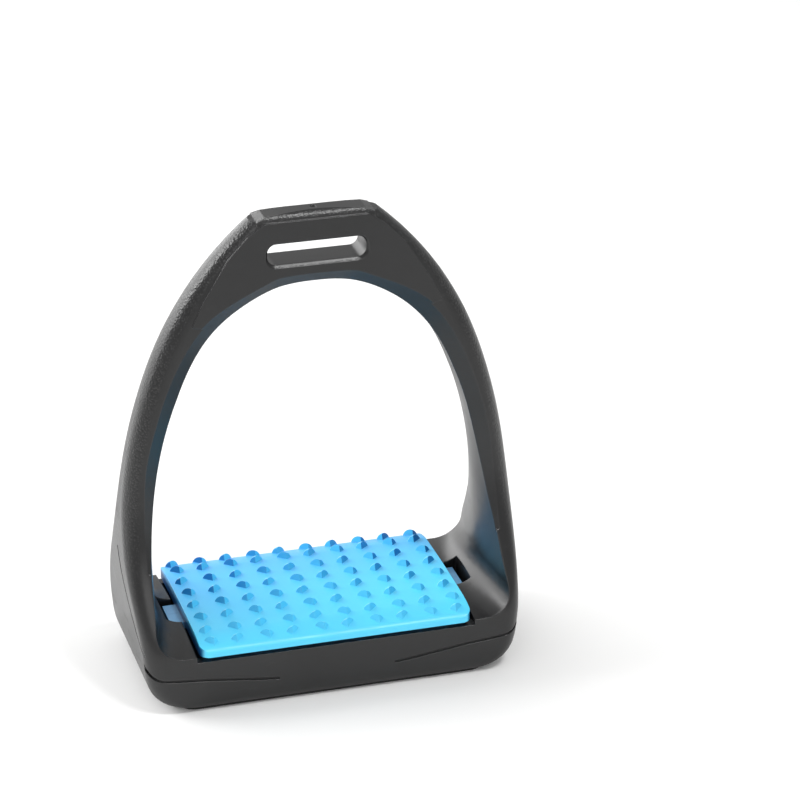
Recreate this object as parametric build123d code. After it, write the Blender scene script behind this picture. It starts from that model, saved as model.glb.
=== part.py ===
from build123d import *
from math import sqrt
import os

# ---- outside of the frame: widest point, two tangent arcs up to the top ----
WIDEST_HALF_WIDTH = 65.7
WIDEST_Z = 48.0
LEG_ARC_RADIUS = 184.4
SHOULDER_ARC_RADIUS = 113.0
SHOULDER_ARC_START_Z = 112.0

# ---- base sections: height, half width, half depth, corner radius ----
BASE_SECTIONS = [
    (1.6, 53.4, 28.4, 5.6),
    (2.6, 56.4, 29.1, 5.8),
    (4.6, 59.4, 29.5, 6.0),
    (8.0, 61.7, 29.6, 6.0),
    (12.0, 62.8, 29.6, 6.0),
    (18.0, 63.4, 29.6, 6.0),
    (24.0, 63.9, 28.7, 6.0),
    (31.0, 64.6, 25.2, 6.0),
    (38.0, 65.3, 20.6, 6.1),
]

# ---- leg and arch sections: height, half depth, corner radius ----
ARCH_SECTIONS = [
    (46.0, 16.0, 6.4),
    (55.0, 12.3, 6.7),
    (66.0, 9.6, 6.8),
    (79.0, 8.4, 6.7),
    (92.0, 7.9, 6.6),
    (104.0, 7.5, 6.5),
    (115.0, 7.0, 6.3),
    (125.0, 6.5, 6.0),
    (134.0, 6.0, 5.6),
    (142.0, 5.6, 5.2),
    (149.0, 5.2, 4.9),
    (154.5, 4.9, 4.6),
    (157.6, 4.5, 4.2),
    (159.0, 4.0, 3.7),
]


BASE_BOTTOM_Z = BASE_SECTIONS[0][0]
BASE_HALF_DEPTH = 29.6

# ---- foot opening between the legs: height, half width at mid depth, edge depth, edge half width ----
LEG_GAP_SECTIONS = [
    (8.0, 53.8, 33.0, 60.6),
    (20.0, 55.2, 30.0, 60.0),
    (30.0, 55.6, 25.0, 59.3),
    (38.0, 55.7, 20.2, 58.7),
    (46.0, 55.7, 15.5, 58.2),
    (55.0, 55.3, 11.0, 57.0),
    (65.0, 54.6, 8.5, 55.7),
    (76.0, 53.1, 7.0, 53.7),
    (88.0, 50.5, 6.0, 50.8),
    (100.0, 46.6, 6.0, 46.7),
    (108.0, 43.3, 6.0, 43.4),
]
LEG_GAP_SIDE_REACH = 34.0

# ---- arch above the legs ----
ARCH_START_Z = 100.0
ARCH_START_HALF = 46.65
ARCH_POINTS = [
    (41.0, 112.4),
    (34.8, 121.0),
    (28.2, 127.2),
    (21.4, 131.7),
    (14.7, 134.6),
    (7.6, 136.1),
]
ARCH_TOP_Z = 136.6
ARCH_START_SLOPE = (-0.38, 1.0)

# ---- crowned floor of the foot opening ----
FLOOR_CROWN_Z = 22.6
FLOOR_EDGE_Z = 20.4
FLOOR_END_ROUNDING = 9.5
FLOOR_CORNER_MIN_REACH = 0.9

# ---- bevel round the inside of the arch ----
BEVEL_BACK_Y = 2.0
BEVEL_BACK_HALF = [
    (28.0, 40.0),
    (37.5, 50.0),
    (43.2, 58.0),
    (46.8, 66.0),
    (47.9, 74.0),
    (47.3, 82.0),
    (45.7, 89.0),
    (41.6, 104.0),
    (34.6, 120.0),
    (27.9, 126.5),
    (14.7, 134.0),
]
BEVEL_BACK_TOP_Z = 136.0
BEVEL_FRONT_Y = 16.0
BEVEL_FRONT_HALF = [
    (54.5, 40.0),
    (62.7, 50.0),
    (67.6, 58.0),
    (70.0, 66.0),
    (70.4, 76.0),
    (69.4, 86.0),
    (67.0, 95.5),
    (60.8, 115.3),
    (48.6, 133.6),
    (38.8, 141.0),
    (20.0, 149.2),
]
BEVEL_FRONT_TOP_Z = 151.4
BEVEL_START_SLOPE = (0.8, 1.0)

# ---- raised web panel round the leather slot ----
PANEL_TOP_HALF_DEPTH = 5.2
PANEL_TOP_Z = 158.6
PANEL_TIP_HALF_DEPTH = 7.0
PANEL_TIP_Z = 126.6
PANEL_OUTLINE_HALF = [
    (17.0, PANEL_TOP_Z),
    (22.5, 154.8),
    (29.2, 147.8),
    (33.8, 140.4),
    (37.9, 134.0),
    (41.4, PANEL_TIP_Z),
    (30.0, 124.0),
]

# ---- cap block on top of the arch ----
CAP_HALF_LENGTH = 16.6
CAP_FOOT_HALF_LENGTH = 19.4
CAP_HALF_DEPTH = 2.1
CAP_END_Z = 160.1
CAP_CENTRE_Z = 161.0
CAP_FOOT_Z = 159.0
CAP_BOTTOM_Z = 155.0
CAP_SHOULDER_LEAN = 0.25
CAP_SHOULDER_RADIUS = 3.6
CAP_SHOULDER_TURN = 68.0
GATE_MARK_DIAMETER = 1.9
GATE_MARK_DEPTH = 0.3

# ---- leather slot ----
SLOT_HALF_WIDTH = 16.3
SLOT_BOTTOM_Z = 144.3
SLOT_TOP_Z = 151.4
SLOT_CORNER = 3.0
SLOT_EDGE_CHAMFER = 0.6
SLOT_FACE_HALF_DEPTH = 5.7

# ---- tread well in the base ----
WELL_HALF_LENGTH = 47.0
WELL_HALF_DEPTH = 26.4
WELL_FLOOR_Z = 9.0
WELL_WALL_TOP_Z = 18.6
WELL_CORNER = 2.0

# ---- pockets for the tread's end tabs ----
POCKET_END_X = 52.3
POCKET_HALF_DEPTH = 8.0
POCKET_FLOOR_Z = 16.8

# ---- decorative groove round the base ----
GROOVE_WIDTH = 1.0
GROOVE_DEPTH = 0.7
GROOVE_SIDE_START_X = 63.2
GROOVE_FRONT_START_DEPTH = 24.0
GROOVE_FRONT_PATH = [(19.5, 9.0), (30.0, 10.2), (45.0, 12.1), (56.5, 13.2), (61.2, 14.5), (63.4, 17.0),
                     (64.4, 21.0)]
GROOVE_SIDE_PATH = [(-30.0, 16.6), (-27.6, 20.0), (-20.0, 23.6), (-11.8, 30.4), (-4.6, 39.4), (1.0, 49.0)]

# ---- underside cavity ----
CAVITY_HALF_LENGTH = 49.5
CAVITY_HALF_DEPTH = 23.5
CAVITY_ROOF_Z = 6.5
CAVITY_CORNER = 4.0

# ---- sole plate ----
SOLE_HALF_LENGTH = 53.0
SOLE_HALF_DEPTH = 27.4
SOLE_CORNER = 7.0
SOLE_PLUG_TOP_Z = 2.2
SOLE_PLUG_GAP = 0.4
SOLE_EDGE_CHAMFER = 0.4
DRAIN_HOLE_DIAMETER = 4.0
DRAIN_HOLE_X = 14.0
DRAIN_HOLE_Y = 16.0

# ---- sole screws and the inserts they run into ----
SOLE_SCREW_X = 43.0
SOLE_SCREW_Y = 16.5
SOLE_BOSS_DIAMETER = 8.0
SOLE_SCREW_DIAMETER = 3.0
SOLE_SCREW_HOLE_DIAMETER = 3.4
SOLE_SCREW_HEAD_DIAMETER = 5.6
SOLE_SCREW_HEAD_HEIGHT = 1.3
SOLE_SCREW_RECESS = 0.3
SOLE_SCREW_TIP_Z = 7.4
SOLE_SCREW_SOCKET_ACROSS = 2.0
SOLE_SCREW_SOCKET_DEPTH = 0.8
FRAME_INSERT_DIAMETER = 4.6
FRAME_INSERT_BOTTOM_Z = 2.9
FRAME_INSERT_TOP_Z = 7.9
THREAD_CLEARANCE = 0.05

# ---- tread carrier ----
CARRIER_HALF_LENGTH = 44.8
CARRIER_HALF_DEPTH = 25.8
CARRIER_BOTTOM_Z = 18.8
CARRIER_TOP_Z = 21.2
CARRIER_CORNER = 2.0
TAB_END_X = 50.3
TAB_HALF_DEPTH = 6.2
CARRIER_BOSS_DIAMETER = 9.0
CARRIER_BOSS_BOTTOM_Z = 12.0

# ---- guide posts: shoulder screws, inserts, washers and bushes ----
POST_X = 28.0
POST_Y = 12.5
SHOULDER_DIAMETER = 5.0
SHOULDER_BOTTOM_Z = 6.0
SHOULDER_THREAD_DIAMETER = 4.0
SHOULDER_THREAD_TOP_Z = 18.2
SHOULDER_HEAD_DIAMETER = 8.4
SHOULDER_HEAD_HEIGHT = 1.7
SHOULDER_SOCKET_ACROSS = 3.0
SHOULDER_SOCKET_DEPTH = 1.0
CARRIER_INSERT_DIAMETER = 6.0
CARRIER_INSERT_TOP_Z = 18.6
WASHER_DIAMETER = 9.6
BUSH_DIAMETER = 7.4
BUSH_FLANGE_DIAMETER = 10.4
BUSH_FLANGE_TOP_Z = 9.9
BUSH_BOTTOM_Z = 6.7
RUNNING_CLEARANCE = 0.06
SCREW_EDGE_CHAMFER = 0.3
INSERT_GROOVE_WIDTH = 0.8
INSERT_GROOVE_DEPTH = 0.3

# ---- elastomer cushions ----
CUSHION_INNER_X = 3.0
CUSHION_OUTER_X = 44.0
CUSHION_HALF_DEPTH = 22.0
CUSHION_CORNER = 3.0
CUSHION_HOLE_DIAMETER = 12.0

# ---- tread pad ----
PAD_HALF_LENGTH = 45.8
PAD_HALF_DEPTH = 30.3
PAD_CORNER = 3.4
PAD_LIP_BOTTOM_Z = 20.4
PAD_CREST_Z = 25.4
PAD_FIELD_HALF_DEPTH = 21.0
PAD_FIELD_Z = 25.0
PAD_SHOULDER_HALF_DEPTH = 27.5
PAD_SHOULDER_Z = 23.8
PAD_EDGE_Z = 22.2
PAD_EDGE_DIRECTION = (0.45, -0.9)
PAD_TAB_RELIEF = 0.3
PLUG_INNER_X = 14.0
PLUG_OUTER_X = 40.0
PLUG_Y = 19.0
PLUG_DIAMETER = 4.0
PLUG_FOOT_DIAMETER = 6.0
PLUG_FOOT_HEIGHT = 0.9
PLUG_POCKET_DEPTH = 1.0

# ---- studs on the pad ----
STUD_COLUMNS = 10
STUD_PITCH_X = 9.27
STUD_ROWS_Y = [27.0, 20.9, 12.5, 4.1, -4.3, -12.7, -21.1, -27.0]
STUD_SPHERE_RADIUS = 2.6
STUD_HEIGHT = 2.1
STUD_SINK = 0.9
STUD_FACET_OFFSET = 0.45
STUD_SIDE_FACET_OFFSET = 1.45
STUD_FACET_TURN = 42.0
STUD_FACET_LEAN = 24.0
STUD_CUT_SIZE = 12.0

# ---- allowances for cutting tools ----
OVERCUT = 0.5
FAR = 80.0


def box_between(x0, x1, y0, y1, z0, z1):
    """Plain box between two opposite corners."""
    centre = ((x0 + x1) / 2, (y0 + y1) / 2, (z0 + z1) / 2)
    return Pos(*centre) * Box(x1 - x0, y1 - y0, z1 - z0)


def rounded_slab(half_length, half_depth, corner, z0, z1):
    """Slab with rounded upright corners, centred on the z axis."""
    outline = RectangleRounded(2 * half_length, 2 * half_depth, corner)
    return Pos(0, 0, z0) * extrude(outline, z1 - z0)


def upright(diameter, z0, z1):
    """Round bar from z0 up to z1."""
    return Pos(0, 0, (z0 + z1) / 2) * Cylinder(diameter / 2, z1 - z0)


def hex_socket(across, z0, z1):
    """Hexagon bar used to cut a key socket."""
    return Pos(0, 0, z0) * extrude(RegularPolygon(across / 2, 6, major_radius=False), z1 - z0)


def at_four(x, y):
    """Positions at the four corners of a rectangle."""
    return [Pos(sx * x, sy * y, 0) for sx in (-1, 1) for sy in (-1, 1)]


def half_width_at(z):
    """Half width of the frame above its widest point: leg arc, then the tighter shoulder arc."""
    rise = min(z, SHOULDER_ARC_START_Z) - WIDEST_Z
    leg_width = WIDEST_HALF_WIDTH - LEG_ARC_RADIUS + sqrt(LEG_ARC_RADIUS**2 - rise**2)
    if z <= SHOULDER_ARC_START_Z:
        return leg_width
    ratio = SHOULDER_ARC_RADIUS / LEG_ARC_RADIUS
    centre_z = SHOULDER_ARC_START_Z - rise * ratio
    start_reach = sqrt(SHOULDER_ARC_RADIUS**2 - (rise * ratio) ** 2)
    return leg_width - start_reach + sqrt(SHOULDER_ARC_RADIUS**2 - (z - centre_z) ** 2)


def envelope(inset=0.0):
    """Outside of the frame: rounded rectangles stacked from the base to the top of the arch."""
    stack = list(BASE_SECTIONS)
    for z, half_depth, corner in ARCH_SECTIONS:
        stack.append((z, half_width_at(z), half_depth, corner))
    sections = []
    for z, half_width, half_depth, corner in stack:
        outline = RectangleRounded(2 * (half_width - inset), 2 * (half_depth - inset), corner - inset)
        sections.append(Pos(0, 0, z) * outline)
    return loft(sections)


def leg_gap():
    """Space between the legs: inner faces bulge at mid depth and fall back to their edges."""
    sections = []
    for z, mid_half, edge_depth, edge_half in LEG_GAP_SECTIONS:
        bulge = edge_half - mid_half
        radius = (edge_depth**2 + bulge**2) / (2 * bulge)
        reach = LEG_GAP_SIDE_REACH
        end_half = edge_half + (reach - edge_depth) * edge_depth / sqrt(radius**2 - edge_depth**2)
        right = Spline(
            (end_half, -reach),
            (edge_half, -edge_depth),
            (mid_half, 0.0),
            (edge_half, edge_depth),
            (end_half, reach),
        )
        left = right.mirror(Plane.YZ)
        front = Line((-end_half, -reach), (end_half, -reach))
        rear = Line((-end_half, reach), (end_half, reach))
        sections.append(Pos(0, 0, z) * make_face([right, front, left, rear]))
    return loft(sections)


def crowned_space():
    """Everything between the crowned floor of the foot opening and the start of the arch."""
    side = BASE_HALF_DEPTH
    floor = ThreePointArc((-side, FLOOR_EDGE_Z), (0, FLOOR_CROWN_Z), (side, FLOOR_EDGE_Z))
    out_front = Line((-FAR, FLOOR_EDGE_Z), (-side, FLOOR_EDGE_Z))
    out_rear = Line((side, FLOOR_EDGE_Z), (FAR, FLOOR_EDGE_Z))
    top = ARCH_START_Z
    rest = Polyline((FAR, FLOOR_EDGE_Z), (FAR, top), (-FAR, top), (-FAR, FLOOR_EDGE_Z))
    profile = make_face([out_front, floor, out_rear, rest])
    return extrude(Plane.YZ.offset(-FAR) * profile, 2 * FAR)


def foot_space():
    """Space between the legs above the crowned floor, with rounded lower corners."""
    space = leg_gap() & crowned_space()
    corners = []
    for edge in space.edges():
        middle = edge @ 0.5
        if abs(middle.X) > WELL_HALF_LENGTH and middle.Z < FLOOR_CROWN_Z + OVERCUT:
            if abs((edge % 0.5).Y) > FLOOR_CORNER_MIN_REACH:
                corners.append(edge)
    return fillet(corners, FLOOR_END_ROUNDING)


def arch_space():
    """Arched top of the foot opening."""
    start = (ARCH_START_HALF, ARCH_START_Z)
    flank = Spline(
        [start] + ARCH_POINTS + [(0.0, ARCH_TOP_Z)],
        tangents=[ARCH_START_SLOPE, (-1.0, 0.0)],
    )
    closing = Line((-start[0], start[1]), start)
    profile = make_face([closing, flank, flank.mirror(Plane.YZ)])
    return extrude(Plane.XZ.offset(-FAR) * profile, 2 * FAR)


def bevel_wire(half_points, top_z, y):
    """Outline of one side of the arch bevel."""
    flank = Spline(half_points + [(0.0, top_z)], tangents=[BEVEL_START_SLOPE, (-1.0, 0.0)])
    start = half_points[0]
    closing = Line((-start[0], start[1]), start)
    return Plane.XZ.offset(-y) * make_face([closing, flank, flank.mirror(Plane.YZ)])


def arch_bevel():
    """Cone-like cut that bevels the inside edge of the arch, at the rear."""
    back = bevel_wire(BEVEL_BACK_HALF, BEVEL_BACK_TOP_Z, BEVEL_BACK_Y)
    front = bevel_wire(BEVEL_FRONT_HALF, BEVEL_FRONT_TOP_Z, BEVEL_FRONT_Y)
    return loft([back, front], ruled=True)


def web_panel():
    """Raised panel round the leather slot, on both faces, thinner towards the top."""
    right = list(PANEL_OUTLINE_HALF)
    left = [(-x, z) for x, z in reversed(right)]
    profile = make_face(Polyline(*right, *left, close=True))
    slab = extrude(Plane.XZ.offset(-FAR) * profile, 2 * FAR)
    taper = (PANEL_TIP_HALF_DEPTH - PANEL_TOP_HALF_DEPTH) / (PANEL_TOP_Z - PANEL_TIP_Z)
    foot = PANEL_TOP_HALF_DEPTH + taper * PANEL_TOP_Z
    wedge = Polyline((-foot, 0), (foot, 0), (0, foot / taper), close=True)
    return slab & extrude(Plane.YZ.offset(-FAR) * make_face(wedge), 2 * FAR)


def cap_block():
    """Cap on top of the arch: crowned top, sloping ends, rounded shoulders front and rear."""
    crown = ThreePointArc((-CAP_HALF_LENGTH, CAP_END_Z), (0, CAP_CENTRE_Z), (CAP_HALF_LENGTH, CAP_END_Z))
    sides = Polyline(
        (CAP_HALF_LENGTH, CAP_END_Z),
        (CAP_FOOT_HALF_LENGTH, CAP_FOOT_Z),
        (CAP_FOOT_HALF_LENGTH, CAP_BOTTOM_Z),
        (-CAP_FOOT_HALF_LENGTH, CAP_BOTTOM_Z),
        (-CAP_FOOT_HALF_LENGTH, CAP_FOOT_Z),
        (-CAP_HALF_LENGTH, CAP_END_Z),
    )
    length_body = extrude(Plane.XZ.offset(-FAR) * make_face([crown, sides]), 2 * FAR)
    top = Line((-CAP_HALF_DEPTH, CAP_CENTRE_Z), (CAP_HALF_DEPTH, CAP_CENTRE_Z))
    corner = (CAP_HALF_DEPTH, CAP_CENTRE_Z)
    rear = JernArc(corner, (1, -CAP_SHOULDER_LEAN), CAP_SHOULDER_RADIUS, -CAP_SHOULDER_TURN)
    drop = Line(rear @ 1, ((rear @ 1).X, CAP_BOTTOM_Z))
    floor = Line((-(drop @ 1).X, CAP_BOTTOM_Z), drop @ 1)
    depth_profile = make_face([top, rear, drop, floor, rear.mirror(Plane.YZ), drop.mirror(Plane.YZ)])
    depth_body = extrude(Plane.YZ.offset(-FAR) * depth_profile, 2 * FAR)
    cap = length_body & depth_body
    gate = Pos(0, 0, CAP_CENTRE_Z) * Cylinder(GATE_MARK_DIAMETER / 2, 2 * GATE_MARK_DEPTH)
    return cap - gate


def leather_slot():
    """Cut for the stirrup leather with chamfered mouths."""
    middle = (SLOT_BOTTOM_Z + SLOT_TOP_Z) / 2
    height = SLOT_TOP_Z - SLOT_BOTTOM_Z
    outline = Pos(0, middle) * RectangleRounded(2 * SLOT_HALF_WIDTH, height, SLOT_CORNER)
    cut = extrude(Plane.XZ.offset(-FAR) * outline, 2 * FAR)
    grow = SLOT_EDGE_CHAMFER + OVERCUT
    wide_length = 2 * (SLOT_HALF_WIDTH + grow)
    wide = Pos(0, middle) * RectangleRounded(wide_length, height + 2 * grow, SLOT_CORNER + grow)
    for side in (-1, 1):
        inner = Plane.XZ.offset(-side * (SLOT_FACE_HALF_DEPTH - SLOT_EDGE_CHAMFER)) * outline
        outer = Plane.XZ.offset(-side * (SLOT_FACE_HALF_DEPTH + OVERCUT)) * wide
        cut += loft([inner, outer], ruled=True)
    return cut


def base_cuts():
    """Tread well, lowered front and rear walls, and the pockets for the end tabs."""
    cuts = rounded_slab(WELL_HALF_LENGTH, WELL_HALF_DEPTH, WELL_CORNER, WELL_FLOOR_Z, FAR)
    cuts += box_between(-WELL_HALF_LENGTH, WELL_HALF_LENGTH, -FAR, FAR, WELL_WALL_TOP_Z, FAR)
    for side in (-1, 1):
        x0, x1 = sorted((side * (WELL_HALF_LENGTH - OVERCUT), side * POCKET_END_X))
        cuts += box_between(x0, x1, -POCKET_HALF_DEPTH, POCKET_HALF_DEPTH, POCKET_FLOOR_Z, FAR)
    return cuts


def groove_cut():
    """Shallow decorative groove: along each half of the front, up to mid depth on the side."""
    front_path = Spline(GROOVE_FRONT_PATH)
    front_band = Plane.XZ.offset(GROOVE_FRONT_START_DEPTH) * trace(front_path, line_width=GROOVE_WIDTH)
    front = extrude(front_band, FAR)
    side_path = Spline(GROOVE_SIDE_PATH)
    side_band = Plane.YZ.offset(GROOVE_SIDE_START_X) * trace(side_path, line_width=GROOVE_WIDTH)
    right = front + extrude(side_band, FAR)
    return right + right.mirror(Plane.YZ) - envelope(GROOVE_DEPTH)


def frame_floor_cuts():
    """Cavity under the tread well with its screw bosses left standing, bush holes and insert holes."""
    cuts = rounded_slab(CAVITY_HALF_LENGTH, CAVITY_HALF_DEPTH, CAVITY_CORNER, 0, CAVITY_ROOF_Z)
    for spot in at_four(SOLE_SCREW_X, SOLE_SCREW_Y):
        cuts -= spot * upright(SOLE_BOSS_DIAMETER, SOLE_PLUG_TOP_Z, CAVITY_ROOF_Z + OVERCUT)
        cuts += spot * upright(FRAME_INSERT_DIAMETER, SOLE_PLUG_TOP_Z - OVERCUT, FRAME_INSERT_TOP_Z)
    for spot in at_four(POST_X, POST_Y):
        cuts += spot * upright(BUSH_DIAMETER, CAVITY_ROOF_Z - OVERCUT, WELL_FLOOR_Z + OVERCUT)
    return cuts


def make_frame():
    """Moulded frame: base, legs and arch in one piece."""
    body = envelope()
    body += web_panel()
    body += cap_block()
    body -= foot_space()
    body -= arch_space()
    bevel = arch_bevel()
    body -= bevel
    body -= bevel.mirror(Plane.XZ)
    body -= leather_slot()
    body -= base_cuts()
    body -= groove_cut()
    body -= frame_floor_cuts()
    return body


def make_sole_plate():
    """Flat wearing plate closing the underside, with a plug that centres it in the cavity."""
    plate = rounded_slab(SOLE_HALF_LENGTH, SOLE_HALF_DEPTH, SOLE_CORNER, 0, BASE_BOTTOM_Z)
    plate = chamfer(plate.faces().sort_by(Axis.Z)[0].edges(), SOLE_EDGE_CHAMFER)
    plug_length = CAVITY_HALF_LENGTH - SOLE_PLUG_GAP
    plug_depth = CAVITY_HALF_DEPTH - SOLE_PLUG_GAP
    plate += rounded_slab(plug_length, plug_depth, CAVITY_CORNER, BASE_BOTTOM_Z, SOLE_PLUG_TOP_Z)
    head_top = SOLE_SCREW_RECESS + SOLE_SCREW_HEAD_HEIGHT
    for spot in at_four(SOLE_SCREW_X, SOLE_SCREW_Y):
        plate -= spot * upright(SOLE_SCREW_HOLE_DIAMETER, 0, SOLE_PLUG_TOP_Z)
        plate -= spot * screw_head_cone(0, head_top, THREAD_CLEARANCE)
    for spot in at_four(DRAIN_HOLE_X, DRAIN_HOLE_Y):
        plate -= spot * upright(DRAIN_HOLE_DIAMETER, 0, SOLE_PLUG_TOP_Z)
    return plate


def screw_head_cone(bottom, top, gap):
    """Countersunk head: straight rim down to the bottom, cone up to the shank."""
    head = SOLE_SCREW_HEAD_DIAMETER / 2 + gap
    shank = SOLE_SCREW_DIAMETER / 2 + gap
    cone_bottom = top - (head - shank)
    profile = Polyline((0, bottom), (head, bottom), (head, cone_bottom), (shank, top), (0, top), close=True)
    return revolve(Plane.XZ * make_face(profile), Axis.Z)


def make_sole_screw():
    """Countersunk screw holding the sole plate."""
    head_top = SOLE_SCREW_RECESS + SOLE_SCREW_HEAD_HEIGHT
    screw = screw_head_cone(SOLE_SCREW_RECESS, head_top, 0)
    screw += upright(SOLE_SCREW_DIAMETER, head_top - OVERCUT, SOLE_SCREW_TIP_Z)
    socket_top = SOLE_SCREW_RECESS + SOLE_SCREW_SOCKET_DEPTH
    return screw - hex_socket(SOLE_SCREW_SOCKET_ACROSS, 0, socket_top)


def make_insert(diameter, bore, z0, z1):
    """Threaded brass insert with a retaining groove round its middle."""
    insert = upright(diameter, z0, z1) - upright(bore + 2 * THREAD_CLEARANCE, z0, z1)
    groove_z0 = (z0 + z1 - INSERT_GROOVE_WIDTH) / 2
    groove_z1 = groove_z0 + INSERT_GROOVE_WIDTH
    ring = upright(diameter, groove_z0, groove_z1)
    ring -= upright(diameter - 2 * INSERT_GROOVE_DEPTH, groove_z0, groove_z1)
    return insert - ring


def make_tread_carrier():
    """Rigid plate under the pad: end tabs, guide bosses and holes for the pad's plugs."""
    z0 = CARRIER_BOTTOM_Z
    z1 = CARRIER_TOP_Z
    carrier = rounded_slab(CARRIER_HALF_LENGTH, CARRIER_HALF_DEPTH, CARRIER_CORNER, z0, z1)
    carrier += box_between(-TAB_END_X, TAB_END_X, -TAB_HALF_DEPTH, TAB_HALF_DEPTH, z0, z1)
    for spot in at_four(POST_X, POST_Y):
        carrier += spot * upright(CARRIER_BOSS_DIAMETER, CARRIER_BOSS_BOTTOM_Z, CARRIER_BOTTOM_Z + OVERCUT)
        carrier -= spot * upright(CARRIER_INSERT_DIAMETER, CARRIER_BOSS_BOTTOM_Z, CARRIER_INSERT_TOP_Z)
    for x in (PLUG_INNER_X, PLUG_OUTER_X):
        for spot in at_four(x, PLUG_Y):
            carrier -= spot * upright(PLUG_DIAMETER, z0, z1)
            carrier -= spot * upright(PLUG_FOOT_DIAMETER, z0, z0 + PLUG_POCKET_DEPTH)
    return carrier


def make_shoulder_screw():
    """Shoulder screw guiding the tread: head, ground shoulder, thread."""
    head_bottom = SHOULDER_BOTTOM_Z - SHOULDER_HEAD_HEIGHT
    screw = upright(SHOULDER_HEAD_DIAMETER, head_bottom, SHOULDER_BOTTOM_Z)
    screw = chamfer(screw.edges().sort_by(Axis.Z)[0], SCREW_EDGE_CHAMFER)
    screw += upright(SHOULDER_DIAMETER, SHOULDER_BOTTOM_Z, CARRIER_BOSS_BOTTOM_Z)
    screw += upright(SHOULDER_THREAD_DIAMETER, CARRIER_BOSS_BOTTOM_Z, SHOULDER_THREAD_TOP_Z)
    socket_top = head_bottom + SHOULDER_SOCKET_DEPTH
    return screw - hex_socket(SHOULDER_SOCKET_ACROSS, head_bottom - OVERCUT, socket_top)


def make_stop_washer():
    """Washer between the shoulder screw head and the frame: the upper stop of the tread."""
    bore = SHOULDER_DIAMETER + 2 * THREAD_CLEARANCE
    washer = upright(WASHER_DIAMETER, SHOULDER_BOTTOM_Z, CAVITY_ROOF_Z)
    return washer - upright(bore, SHOULDER_BOTTOM_Z, CAVITY_ROOF_Z)


def make_guide_bush():
    """Flanged plain bush in the frame floor, running on the screw's shoulder."""
    bush = upright(BUSH_DIAMETER, BUSH_BOTTOM_Z, WELL_FLOOR_Z)
    bush += upright(BUSH_FLANGE_DIAMETER, WELL_FLOOR_Z, BUSH_FLANGE_TOP_Z)
    return bush - upright(SHOULDER_DIAMETER + 2 * RUNNING_CLEARANCE, BUSH_BOTTOM_Z, BUSH_FLANGE_TOP_Z)


def make_cushion(side):
    """Elastomer block under one half of the tread, with clear holes round the guide posts."""
    x0, x1 = sorted((side * CUSHION_INNER_X, side * CUSHION_OUTER_X))
    outline = RectangleRounded(x1 - x0, 2 * CUSHION_HALF_DEPTH, CUSHION_CORNER)
    height = CARRIER_BOTTOM_Z - WELL_FLOOR_Z
    block = Pos((x0 + x1) / 2, 0, WELL_FLOOR_Z) * extrude(outline, height)
    for depth_side in (-1, 1):
        spot = Pos(side * POST_X, depth_side * POST_Y, 0)
        block -= spot * upright(CUSHION_HOLE_DIAMETER, WELL_FLOOR_Z, CARRIER_BOTTOM_Z)
    return block


def pad_top_z(y):
    """Height of the pad's top surface at a given depth."""
    reach = abs(y)
    if reach <= PAD_FIELD_HALF_DEPTH:
        return PAD_CREST_Z - (PAD_CREST_Z - PAD_FIELD_Z) * (reach / PAD_FIELD_HALF_DEPTH) ** 2
    fall = (reach - PAD_FIELD_HALF_DEPTH) / (PAD_SHOULDER_HALF_DEPTH - PAD_FIELD_HALF_DEPTH)
    return PAD_FIELD_Z - (PAD_FIELD_Z - PAD_SHOULDER_Z) * fall


def pad_shell():
    """Pad body: crowned top, rolled edges, skirt hanging round the carrier."""
    field_half = PAD_FIELD_HALF_DEPTH
    field = ThreePointArc((-field_half, PAD_FIELD_Z), (0, PAD_CREST_Z), (field_half, PAD_FIELD_Z))
    rear = Spline(
        (field_half, PAD_FIELD_Z),
        (PAD_SHOULDER_HALF_DEPTH, PAD_SHOULDER_Z),
        (PAD_HALF_DEPTH, PAD_EDGE_Z),
        tangents=[field % 1, PAD_EDGE_DIRECTION],
    )
    front = rear.mirror(Plane.YZ)
    bottom = Polyline(
        (PAD_HALF_DEPTH, PAD_EDGE_Z),
        (PAD_HALF_DEPTH, PAD_LIP_BOTTOM_Z),
        (-PAD_HALF_DEPTH, PAD_LIP_BOTTOM_Z),
        (-PAD_HALF_DEPTH, PAD_EDGE_Z),
    )
    body = extrude(Plane.YZ.offset(-FAR) * make_face([field, rear, front, bottom]), 2 * FAR)
    return body & rounded_slab(PAD_HALF_LENGTH, PAD_HALF_DEPTH, PAD_CORNER, 0, FAR)


def facet_cut(turn, offset):
    """Space in front of one slanted stud facet that faces the front, turned about the stud's axis."""
    size = STUD_CUT_SIZE
    cut = Pos(0, -offset - size / 2, 0) * Box(size, size, 2 * size)
    return Rot(Z=turn) * Rot(X=-STUD_FACET_LEAN) * cut


def make_stud(column, row, y):
    """Rubber stud: a low dome with a large and a small facet, alternating left and right."""
    x = (column - (STUD_COLUMNS - 1) / 2) * STUD_PITCH_X
    surface_z = pad_top_z(y)
    centre_z = surface_z + STUD_HEIGHT - STUD_SPHERE_RADIUS
    keep_z = surface_z - STUD_SINK - centre_z
    size = STUD_CUT_SIZE
    dome = Sphere(STUD_SPHERE_RADIUS) & Pos(0, 0, keep_z + size / 2) * Box(size, size, size)
    facing = -1 if (column + row) % 2 == 0 else 1
    dome -= facet_cut(-facing * STUD_FACET_TURN, STUD_FACET_OFFSET)
    dome -= facet_cut(facing * STUD_FACET_TURN, STUD_SIDE_FACET_OFFSET)
    return Pos(x, y, centre_z) * dome


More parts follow.
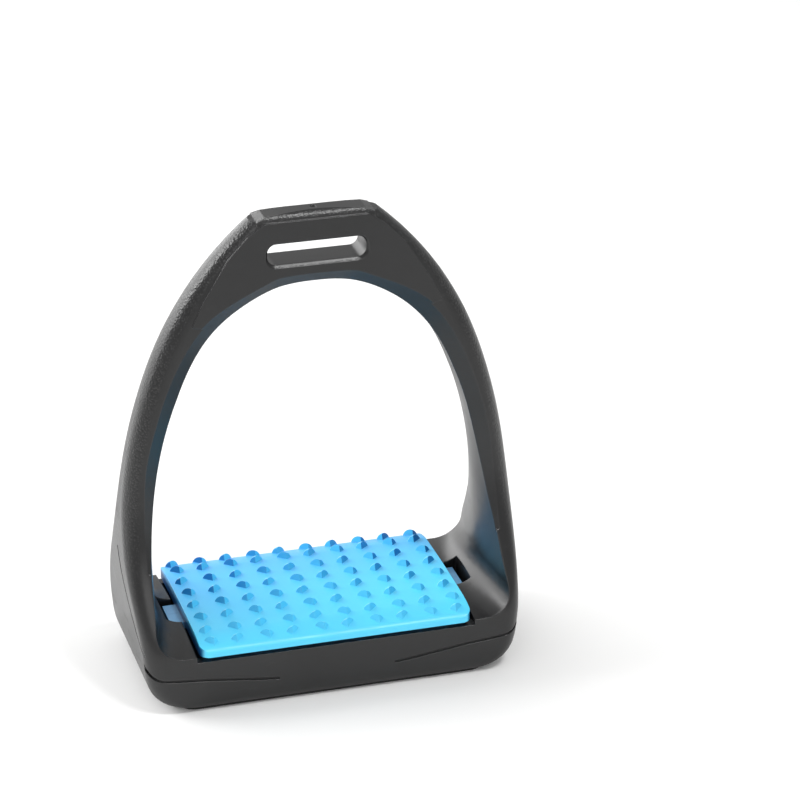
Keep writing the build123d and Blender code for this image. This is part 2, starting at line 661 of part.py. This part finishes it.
def make_tread_pad():
    """Moulded tread pad with its studs and the plugs that lock it to the carrier."""
    pad = pad_shell()
    pad -= rounded_slab(CARRIER_HALF_LENGTH, CARRIER_HALF_DEPTH, CARRIER_CORNER, 0, CARRIER_TOP_Z)
    relief = TAB_HALF_DEPTH + PAD_TAB_RELIEF
    pad -= box_between(-FAR, FAR, -relief, relief, 0, CARRIER_TOP_Z)
    foot_top = CARRIER_BOTTOM_Z + PLUG_POCKET_DEPTH
    for x in (PLUG_INNER_X, PLUG_OUTER_X):
        for spot in at_four(x, PLUG_Y):
            pad += spot * upright(PLUG_DIAMETER, foot_top - OVERCUT, CARRIER_TOP_Z + OVERCUT)
            pad += spot * upright(PLUG_FOOT_DIAMETER, foot_top - PLUG_FOOT_HEIGHT, foot_top)
    studs = []
    for row, y in enumerate(STUD_ROWS_Y):
        for column in range(STUD_COLUMNS):
            studs.append(make_stud(column, row, y))
    return pad.fuse(*studs)


def at_posts(shape):
    """Four copies of a shape at the guide posts."""
    return Compound(children=[spot * shape for spot in at_four(POST_X, POST_Y)])


def at_sole_screws(shape):
    """Four copies of a shape at the sole screws."""
    return Compound(children=[spot * shape for spot in at_four(SOLE_SCREW_X, SOLE_SCREW_Y)])


def make_parts():
    """Every node of the stirrup, by name."""
    frame_insert = make_insert(
        FRAME_INSERT_DIAMETER, SOLE_SCREW_DIAMETER, FRAME_INSERT_BOTTOM_Z, FRAME_INSERT_TOP_Z
    )
    carrier_insert = make_insert(
        CARRIER_INSERT_DIAMETER, SHOULDER_THREAD_DIAMETER, CARRIER_BOSS_BOTTOM_Z, CARRIER_INSERT_TOP_Z
    )
    return {
        "frame": make_frame(),
        "sole_plate": make_sole_plate(),
        "sole_screws": at_sole_screws(make_sole_screw()),
        "frame_inserts": at_sole_screws(frame_insert),
        "guide_bushes": at_posts(make_guide_bush()),
        "cushion_left": make_cushion(-1),
        "cushion_right": make_cushion(1),
        "tread_carrier": make_tread_carrier(),
        "carrier_inserts": at_posts(carrier_insert),
        "shoulder_screws": at_posts(make_shoulder_screw()),
        "stop_washers": at_posts(make_stop_washer()),
        "tread_pad": make_tread_pad(),
    }


if __name__ == "__main__":
    os.makedirs("parts", exist_ok=True)
    for name, shape in make_parts().items():
        export_step(shape, f"parts/{name}.step")
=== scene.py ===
import math

import bmesh
import bpy
from mathutils import Matrix, Vector


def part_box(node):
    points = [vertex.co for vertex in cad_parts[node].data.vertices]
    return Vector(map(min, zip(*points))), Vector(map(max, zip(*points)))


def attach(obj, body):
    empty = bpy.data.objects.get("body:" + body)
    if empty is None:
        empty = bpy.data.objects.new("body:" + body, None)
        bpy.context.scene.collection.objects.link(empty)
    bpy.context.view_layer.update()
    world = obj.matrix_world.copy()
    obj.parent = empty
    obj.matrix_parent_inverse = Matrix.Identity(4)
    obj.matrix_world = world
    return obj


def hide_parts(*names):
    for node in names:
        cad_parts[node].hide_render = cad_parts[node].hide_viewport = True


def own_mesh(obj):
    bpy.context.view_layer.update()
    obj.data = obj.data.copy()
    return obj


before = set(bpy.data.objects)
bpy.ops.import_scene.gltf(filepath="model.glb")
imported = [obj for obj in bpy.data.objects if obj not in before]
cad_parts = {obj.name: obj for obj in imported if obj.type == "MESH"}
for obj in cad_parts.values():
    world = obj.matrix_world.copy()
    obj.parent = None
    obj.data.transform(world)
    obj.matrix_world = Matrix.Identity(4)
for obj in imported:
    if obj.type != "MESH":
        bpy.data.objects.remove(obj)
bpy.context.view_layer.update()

SCENE = bpy.context.scene
MM = 0.001

# frame, in metres: the middle of the arch, and the pairs between which a mask fades
ARCH_CENTRE_Z = 0.085
CAP_STRIP_HALF_DEPTH = (0.0020, 0.0030)
CAP_STRIP_Z = (0.1585, 0.1598)
SLOT_HALF_LENGTH = (0.0166, 0.0172)
SLOT_LOW_Z = (0.1436, 0.1441)
SLOT_HIGH_Z = (0.1516, 0.1521)
UPPER_FRAME_Z = (0.020, 0.080)

# tread pad: stud facets lean by one fixed slope, and the skirt is the part below the studs
FACET_NORMAL_Z = 0.407
STUD_FOOT_Z = (0.0238, 0.0243)
PAD_SKIRT_Z = (0.0225, 0.0248)

# cushions, in millimetres: guide posts and the side profile as (share of height, inset)
POST_X = 28.0
POST_Y = 12.5
POST_HOLE_RADIUS = 6.0
CUSHION_CORNER = 3.0
CUSHION_PROFILE = ((0.00, 0.7), (0.05, 0.2), (0.12, 0.0), (0.30, 0.15), (0.50, 0.35),
                   (0.70, 0.15), (0.88, 0.0), (0.95, 0.2), (1.00, 0.7))

# stage
FLOOR_HALF = 6.0
CAMERA_ANGLES = (-16.895, 25.502, 0.548)
CAMERA_PLACE = (-0.26648, -0.97423, 0.57507)
CAMERA_LENS = 155.32
CAMERA_SENSOR = 36.0


# ---------------------------------------------------------------- node helpers

class Shader:
    """Small helper that builds one node material."""

    def __init__(self, name, **constants):
        self.material = bpy.data.materials.new(name)
        self.material.use_nodes = True
        self.tree = self.material.node_tree
        self.bsdf = self.tree.nodes["Principled BSDF"]
        for key, value in constants.items():
            self.bsdf.inputs[key.replace("_", " ")].default_value = value
        self.coords = self.tree.nodes.new("ShaderNodeTexCoord")

    def node(self, kind, **settings):
        made = self.tree.nodes.new(kind)
        for key, value in settings.items():
            setattr(made, key, value)
        return made

    def link(self, out, into):
        self.tree.links.new(out, into)

    def feed(self, socket, value):
        if isinstance(value, bpy.types.NodeSocket):
            self.link(value, socket)
        else:
            socket.default_value = value

    def math(self, operation, first, second=0.0, clamp=False):
        made = self.node("ShaderNodeMath", operation=operation, use_clamp=clamp)
        self.feed(made.inputs[0], first)
        self.feed(made.inputs[1], second)
        return made.outputs[0]

    def noise(self, scale, detail=3.0, roughness=0.5, vector=None):
        made = self.node("ShaderNodeTexNoise")
        self.link(vector or self.coords.outputs["Object"], made.inputs["Vector"])
        made.inputs["Scale"].default_value = scale
        made.inputs["Detail"].default_value = detail
        made.inputs["Roughness"].default_value = roughness
        return made.outputs["Fac"]

    def cells(self, scale, feature="F1", vector=None):
        made = self.node("ShaderNodeTexVoronoi", feature=feature)
        self.link(vector or self.coords.outputs["Object"], made.inputs["Vector"])
        made.inputs["Scale"].default_value = scale
        return made.outputs["Distance"]

    def span(self, value, low, high, out_low, out_high, smooth=True):
        made = self.node("ShaderNodeMapRange")
        made.interpolation_type = "SMOOTHSTEP" if smooth else "LINEAR"
        self.feed(made.inputs["Value"], value)
        limits = {"From Min": low, "From Max": high, "To Min": out_low, "To Max": out_high}
        for key, number in limits.items():
            self.feed(made.inputs[key], number)
        return made.outputs[0]

    def mix(self, factor, first, second):
        made = self.node("ShaderNodeMix", data_type="RGBA")
        self.feed(made.inputs[0], factor)
        self.feed(made.inputs[6], first)
        self.feed(made.inputs[7], second)
        return made.outputs[2]

    def xyz(self, output="Object"):
        made = self.node("ShaderNodeSeparateXYZ")
        self.link(self.coords.outputs[output], made.inputs[0])
        return made.outputs

    def stretched(self, x, y, z):
        made = self.node("ShaderNodeMapping")
        self.link(self.coords.outputs["Object"], made.inputs["Vector"])
        made.inputs["Scale"].default_value = (x, y, z)
        return made.outputs[0]

    def bump(self, height, strength, distance, under=None):
        made = self.node("ShaderNodeBump")
        self.feed(made.inputs["Height"], height)
        self.feed(made.inputs["Strength"], strength)
        made.inputs["Distance"].default_value = distance
        if under is not None:
            self.link(under, made.inputs["Normal"])
        return made.outputs[0]

    def soft_edges(self, radius):
        made = self.node("ShaderNodeBevel", samples=6)
        made.inputs["Radius"].default_value = radius
        return made.outputs[0]

    def inverse(self, value):
        return self.math("SUBTRACT", 1.0, value)

    def surface(self, colour, roughness, normal=None):
        """Links the finished colour, roughness and normal, and returns the material."""
        self.link(colour, self.bsdf.inputs["Base Color"])
        self.link(roughness, self.bsdf.inputs["Roughness"])
        if normal is not None:
            self.link(normal, self.bsdf.inputs["Normal"])
        return self.material


def edge_mask(shader, rounded_normal):
    """One where a rounded edge turns away from the face, zero on the faces."""
    geometry = shader.node("ShaderNodeNewGeometry")
    dot = shader.node("ShaderNodeVectorMath", operation="DOT_PRODUCT")
    shader.link(rounded_normal, dot.inputs[0])
    shader.link(geometry.outputs["Normal"], dot.inputs[1])
    return shader.span(dot.outputs["Value"], 0.90, 0.995, 1.0, 0.0)


def dress(node, material):
    """Gives a CAD node its finished material."""
    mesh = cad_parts[node].data
    if not mesh.materials:
        mesh.materials.append(material)
    for index in range(len(mesh.materials)):
        mesh.materials[index] = material


# ---------------------------------------------------------------- materials

def frame_nylon():
    """Black glass-filled nylon: satin on the flats, pebble-grained on the rounded outer rims, with
    painted glints on the pebble tops and a painted highlight along rounded edges.
    """
    s = Shader("frame_nylon", IOR=1.50, Coat_Weight=0.08, Coat_Roughness=0.22)
    x, y, z = s.xyz()
    nx, ny, nz = s.xyz("Normal")
    rise = s.math("SUBTRACT", z, ARCH_CENTRE_Z)
    outward = s.math("ADD", s.math("MULTIPLY", x, nx), s.math("MULTIPLY", rise, nz))
    outer = s.span(outward, 0.004, 0.016, 0.0, 1.0)
    rounded = s.span(s.math("ABSOLUTE", ny), 0.84, 0.98, 1.0, 0.0)
    high = s.span(z, *UPPER_FRAME_Z, 0.12, 1.0)
    strip_y = s.span(s.math("ABSOLUTE", y), *CAP_STRIP_HALF_DEPTH, 1.0, 0.0)
    strip = s.math("MULTIPLY", strip_y, s.span(z, *CAP_STRIP_Z, 0.0, 1.0))
    grain = s.math("MULTIPLY", s.math("MULTIPLY", outer, rounded), high)
    grain = s.math("MULTIPLY", grain, s.inverse(strip))
    slot_x = s.span(s.math("ABSOLUTE", x), *SLOT_HALF_LENGTH, 1.0, 0.0)
    slot_z = s.math("MULTIPLY", s.span(z, *SLOT_LOW_Z, 0.0, 1.0), s.span(z, *SLOT_HIGH_Z, 1.0, 0.0))
    grain = s.math("MULTIPLY", grain, s.inverse(s.math("MULTIPLY", slot_x, slot_z)))
    cloud = s.noise(38.0, 4.0, 0.55)
    fine = s.noise(2600.0, 2.0, 0.5)
    pebbles = s.cells(1500.0, "SMOOTH_F1")
    rub = s.span(s.noise(70.0, 6.0, 0.7, s.stretched(1.0, 1.0, 3.0)), 0.56, 0.74, 0.0, 1.0)
    patches = s.span(cloud, 0.3, 0.7, 0.0, 1.0)
    tint = s.mix(patches, (0.0045, 0.0045, 0.0048, 1.0), (0.0085, 0.0085, 0.0090, 1.0))
    # painted glints: the pebble tops on the grained rims are lightened as if catching the light
    grain_glint = s.math("MULTIPLY", s.span(pebbles, 0.10, 0.45, 1.0, 0.0), grain)
    tint = s.mix(s.math("MULTIPLY", grain_glint, 0.35), tint, (0.060, 0.060, 0.060, 1.0))
    smooth = s.soft_edges(0.55 * MM)
    edge = edge_mask(s, smooth)
    tint = s.mix(s.math("MULTIPLY", rub, 0.25), tint, (0.030, 0.030, 0.031, 1.0))
    # painted highlight: the colour is lightened along rounded edges; the same edges are also made less
    # rough below, as polish
    tint = s.mix(s.math("MULTIPLY", edge, 0.5), tint, (0.060, 0.060, 0.062, 1.0))
    base_rough = s.span(cloud, 0.25, 0.75, 0.30, 0.37)
    rough = s.math("ADD", base_rough, s.math("MULTIPLY", rub, 0.10))
    rough = s.math("ADD", rough, s.math("MULTIPLY", grain, -0.03))
    under = s.span(nz, -0.55, -0.15, 0.22, 0.0)
    rough = s.math("ADD", rough, under)
    rough = s.math("ADD", rough, s.math("MULTIPLY", edge, -0.12))
    skin = s.bump(fine, 0.10, 0.03 * MM, smooth)
    pebbled = s.bump(pebbles, s.math("MULTIPLY", grain, 0.9), 0.16 * MM, skin)
    return s.surface(tint, rough, pebbled)


def sole_nylon():
    """Matt black plastic wearing plate, scuffed underneath."""
    s = Shader("sole_nylon")
    scuff = s.noise(160.0, 5.0, 0.7, s.stretched(1.0, 5.0, 1.0))
    worn = s.span(scuff, 0.52, 0.70, 0.0, 1.0)
    tint = s.mix(worn, (0.004, 0.004, 0.004, 1.0), (0.016, 0.016, 0.016, 1.0))
    rough = s.span(scuff, 0.35, 0.70, 0.62, 0.80)
    return s.surface(tint, rough, s.bump(scuff, 0.25, 0.06 * MM, s.soft_edges(0.3 * MM)))


def pad_rubber():
    """Bright blue moulded elastomer with a satin skin. Painted shade darkens the stud facets and the
    skirt, and the top runs from cyan at the front to deeper blue at the back, partly its own hue and
    partly painted shade.
    """
    s = Shader("pad_rubber", Subsurface_Weight=0.12, Subsurface_Scale=1.6 * MM,
               Coat_Weight=0.12, Coat_Roughness=0.30)
    s.bsdf.inputs["Subsurface Radius"].default_value = (0.35, 0.9, 1.0)
    x, y, z = s.xyz()
    nx, ny, nz = s.xyz("Normal")
    cloud = s.span(s.noise(55.0, 3.0, 0.5), 0.3, 0.7, 0.0, 1.0)
    # front-to-back tone: partly the pad's own hue, partly painted shade that darkens the back of the top
    rear_tint_and_shade = s.span(s.math("ADD", y, s.math("MULTIPLY", x, -0.15)), -0.020, 0.026, 0.0, 1.0, smooth=False)
    body = s.mix(rear_tint_and_shade, (0.090, 0.67, 0.98, 1.0), (0.100, 0.47, 0.95, 1.0))
    body = s.mix(s.math("MULTIPLY", cloud, 0.25), body, (0.090, 0.56, 0.96, 1.0))
    slant = s.span(s.math("ABSOLUTE", s.math("SUBTRACT", nz, FACET_NORMAL_Z)), 0.02, 0.05, 1.0, 0.0)
    flat = s.math("MULTIPLY", slant, s.span(ny, -0.62, -0.54, 1.0, 0.0))
    # painted shade on the stud facets: deep blue, darkest on facets that face the nearer leg and towards
    # the back
    shaded = s.span(s.math("MULTIPLY", x, nx), -0.012, 0.022, 0.25, 1.0)
    shaded = s.math("MULTIPLY", shaded, s.span(y, -0.022, 0.012, 0.22, 1.0))
    painted_facet_shade = s.mix(shaded, (0.085, 0.62, 0.95, 1.0), (0.004, 0.16, 0.44, 1.0))
    raised = s.span(z, *STUD_FOOT_Z, 0.0, 1.0)
    colour = s.mix(s.math("MULTIPLY", flat, raised), body, painted_facet_shade)
    # painted shade: the pad's ends below the studs are dark navy, as if shaded by the legs and floor
    side_shade_mask = s.span(s.math("ABSOLUTE", nx), 0.5, 0.95, 0.0, 1.0)
    low = s.span(z, *PAD_SKIRT_Z, 1.0, 0.0)
    colour = s.mix(s.math("MULTIPLY", side_shade_mask, low), colour, (0.006, 0.070, 0.22, 1.0))
    rough = s.span(s.noise(220.0, 4.0, 0.6), 0.3, 0.7, 0.34, 0.46)
    fine = s.noise(1800.0, 2.0, 0.6)
    return s.surface(colour, rough, s.bump(fine, 0.12, 0.03 * MM, s.soft_edges(0.30 * MM)))


def carrier_plastic():
    """Pale steel-blue moulded plate with faint flow marks."""
    s = Shader("carrier_plastic")
    flow = s.noise(90.0, 4.0, 0.6, s.stretched(1.0, 6.0, 1.0))
    streaks = s.span(flow, 0.35, 0.65, 0.0, 1.0)
    tint = s.mix(streaks, (0.12, 0.32, 0.56, 1.0), (0.16, 0.39, 0.64, 1.0))
    rough = s.span(flow, 0.3, 0.7, 0.38, 0.48)
    return s.surface(tint, rough, s.bump(flow, 0.08, 0.05 * MM, s.soft_edges(0.25 * MM)))


def turned_metal(name, colour, roughness, scale):
    """Turned metal with fine rings and smudges."""
    s = Shader(name, Metallic=1.0)
    rings = s.noise(scale, 2.0, 0.6, s.stretched(0.05, 0.05, 1.0))
    smudge = s.noise(260.0, 4.0, 0.6)
    darker = tuple(0.72 * c for c in colour) + (1.0,)
    tint = s.mix(s.span(smudge, 0.3, 0.75, 0.0, 1.0), darker, tuple(colour) + (1.0,))
    rough = s.span(rings, 0.3, 0.7, roughness - 0.06, roughness + 0.10)
    return s.surface(tint, rough, s.bump(rings, 0.2, 0.02 * MM))


def acetal():
    """Natural white acetal."""
    s = Shader("bush_acetal", Subsurface_Weight=0.1, Subsurface_Scale=1.0 * MM)
    mottling = s.noise(400.0, 3.0, 0.5)
    patches = s.span(mottling, 0.3, 0.7, 0.0, 1.0)
    tint = s.mix(patches, (0.76, 0.76, 0.73, 1.0), (0.84, 0.84, 0.81, 1.0))
    return s.surface(tint, s.span(mottling, 0.3, 0.7, 0.32, 0.42))


def cushion_elastomer():
    """Dark closed-cell elastomer."""
    s = Shader("cushion_elastomer")
    pores = s.cells(1400.0)
    cloud = s.noise(120.0, 3.0, 0.5)
    patches = s.span(cloud, 0.3, 0.7, 0.0, 1.0)
    tint = s.mix(patches, (0.022, 0.022, 0.026, 1.0), (0.036, 0.036, 0.041, 1.0))
    rough = s.span(cloud, 0.3, 0.7, 0.70, 0.85)
    return s.surface(tint, rough, s.bump(pores, 0.3, 0.10 * MM))


NYLON = frame_nylon()
SOLE = sole_nylon()
PAD = pad_rubber()
CARRIER = carrier_plastic()
STEEL = turned_metal("screw_steel", (0.62, 0.62, 0.63), 0.28, 2400.0)
BRASS = turned_metal("insert_brass", (0.80, 0.58, 0.25), 0.30, 2000.0)
ACETAL = acetal()
CUSHION = cushion_elastomer()

dress("frame", NYLON)
dress("sole_plate", SOLE)
dress("sole_screws", STEEL)
dress("frame_inserts", BRASS)
dress("guide_bushes", ACETAL)
dress("tread_carrier", CARRIER)
dress("carrier_inserts", BRASS)
dress("shoulder_screws", STEEL)
dress("stop_washers", STEEL)
dress("tread_pad", PAD)


# ---------------------------------------------------------------- cushions

def cushion_ring(x0, x1, y0, y1, z, inset, corner, steps=6):
    """Points of one rounded rectangle, anticlockwise."""
    points = []
    radius = corner - inset * 0.5
    centres = ((x1, y1, 0), (x0, y1, 90), (x0, y0, 180), (x1, y0, 270))
    for cx, cy, start in centres:
        px = cx - math.copysign(inset + radius, cx - (x0 + x1) / 2)
        py = cy - math.copysign(inset + radius, cy - (y0 + y1) / 2)
        for step in range(steps + 1):
            angle = math.radians(start + 90.0 * step / steps)
            points.append((px + radius * math.cos(angle), py + radius * math.sin(angle), z))
    return points


def make_cushion(node, name):
    """Elastomer cushion: rounded block whose sides draw in at a waist, with clear guide-post holes."""
    low, high = (Vector(corner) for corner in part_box(node))
    height = high.z - low.z
    build = bmesh.new()
    rings = []
    for rise, inset in CUSHION_PROFILE:
        z = low.z + height * rise
        points = cushion_ring(low.x, high.x, low.y, high.y, z, inset * MM, CUSHION_CORNER * MM)
        rings.append([build.verts.new(point) for point in points])
    count = len(rings[0])
    for lower, upper in zip(rings, rings[1:]):
        for index in range(count):
            after = (index + 1) % count
            build.faces.new((lower[index], lower[after], upper[after], upper[index]))
    build.faces.new(list(reversed(rings[0])))
    build.faces.new(rings[-1])
    mesh = bpy.data.meshes.new(name)
    build.to_mesh(mesh)
    build.free()
    piece = bpy.data.objects.new(name, mesh)
    SCENE.collection.objects.link(piece)
    cutters = []
    side = math.copysign(1.0, low.x + high.x)
    for y in (-POST_Y * MM, POST_Y * MM):
        middle = (side * POST_X * MM, y, low.z + height / 2)
        bpy.ops.mesh.primitive_cylinder_add(vertices=48, radius=POST_HOLE_RADIUS * MM, depth=3 * height,
                                            location=middle)
        cutter = bpy.context.object
        cut = piece.modifiers.new("post_hole", "BOOLEAN")
        cut.operation = "DIFFERENCE"
        cut.solver = "EXACT"
        cut.object = cutter
        cutters.append(cutter)
    bpy.context.view_layer.update()
    shaped = bpy.data.meshes.new_from_object(piece.evaluated_get(bpy.context.evaluated_depsgraph_get()))
    piece.modifiers.clear()
    piece.data = shaped
    for cutter in cutters:
        bpy.data.objects.remove(cutter, do_unlink=True)
    for polygon in shaped.polygons:
        polygon.use_smooth = abs(polygon.normal.z) < 0.9
    shaped.materials.clear()
    shaped.materials.append(CUSHION)
    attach(piece, "frame_body")
    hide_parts(node)
    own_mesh(piece)


make_cushion("cushion_left", "cushion_block_left")
make_cushion("cushion_right", "cushion_block_right")


# ---------------------------------------------------------------- stage

def make_floor():
    """Plain pale floor."""
    mesh = bpy.data.meshes.new("floor")
    half = FLOOR_HALF
    corners = [(-half, -half, 0), (half, -half, 0), (half, half, 0), (-half, half, 0)]
    mesh.from_pydata(corners, [], [(0, 1, 2, 3)])
    floor = bpy.data.objects.new("floor", mesh)
    SCENE.collection.objects.link(floor)
    s = Shader("floor_paper")
    tone = s.noise(3.0, 2.0, 0.5)
    s.link(s.mix(tone, (0.90, 0.90, 0.895, 1.0), (0.93, 0.93, 0.925, 1.0)), s.bsdf.inputs["Base Color"])
    s.bsdf.inputs["Roughness"].default_value = 0.9
    s.bsdf.inputs["Specular IOR Level"].default_value = 0.2
    mesh.materials.append(s.material)


def make_world(strength):
    """Even pale surroundings."""
    world = bpy.data.worlds.new("studio")
    world.use_nodes = True
    background = world.node_tree.nodes["Background"]
    background.inputs["Color"].default_value = (1.0, 1.0, 1.0, 1.0)
    background.inputs["Strength"].default_value = strength
    SCENE.world = world


def area_light(name, place, target, size, power):
    """Soft rectangular studio light aimed at a point."""
    data = bpy.data.lights.new(name, "AREA")
    data.shape = "RECTANGLE"
    data.size, data.size_y = size
    data.energy = power
    light = bpy.data.objects.new(name, data)
    SCENE.collection.objects.link(light)
    light.location = place
    light.rotation_euler = (Vector(target) - Vector(place)).to_track_quat("-Z", "Y").to_euler()


def make_camera():
    """Camera above and to the left of the front, with a long lens."""
    yaw, pitch, roll = (math.radians(angle) for angle in CAMERA_ANGLES)
    ahead = Vector((-math.sin(yaw) * math.cos(pitch), math.cos(yaw) * math.cos(pitch), -math.sin(pitch)))
    side = Vector((math.cos(yaw), math.sin(yaw), 0.0))
    upward = side.cross(ahead)
    right = math.cos(roll) * side + math.sin(roll) * upward
    up = -math.sin(roll) * side + math.cos(roll) * upward
    data = bpy.data.cameras.new("camera")
    data.sensor_width = CAMERA_SENSOR
    data.lens = CAMERA_LENS
    data.clip_start = 0.05
    data.clip_end = 50.0
    camera = bpy.data.objects.new("camera", data)
    SCENE.collection.objects.link(camera)
    turn = Matrix((right, up, -ahead)).transposed().to_4x4()
    camera.matrix_world = Matrix.Translation(CAMERA_PLACE) @ turn
    bpy.context.scene.camera = camera


make_camera()
make_floor()
make_world(0.62)
SCENE.view_settings.view_transform = "Standard"
area_light("back_panel", (-0.75, 0.95, 0.50), (-0.10, 0.15, 0.02), (2.0, 0.9), 17.0)
area_light("key_left", (-0.70, 0.25, 0.55), (0.0, 0.0, 0.10), (0.30, 0.30), 2.2)
area_light("key_front", (0.26, -0.40, 0.92), (0.0, 0.0, 0.06), (0.22, 0.22), 3.4)
area_light("front_fill", (-0.30, -1.10, 0.80), (0.05, -0.15, 0.0), (0.8, 0.5), 2.6)
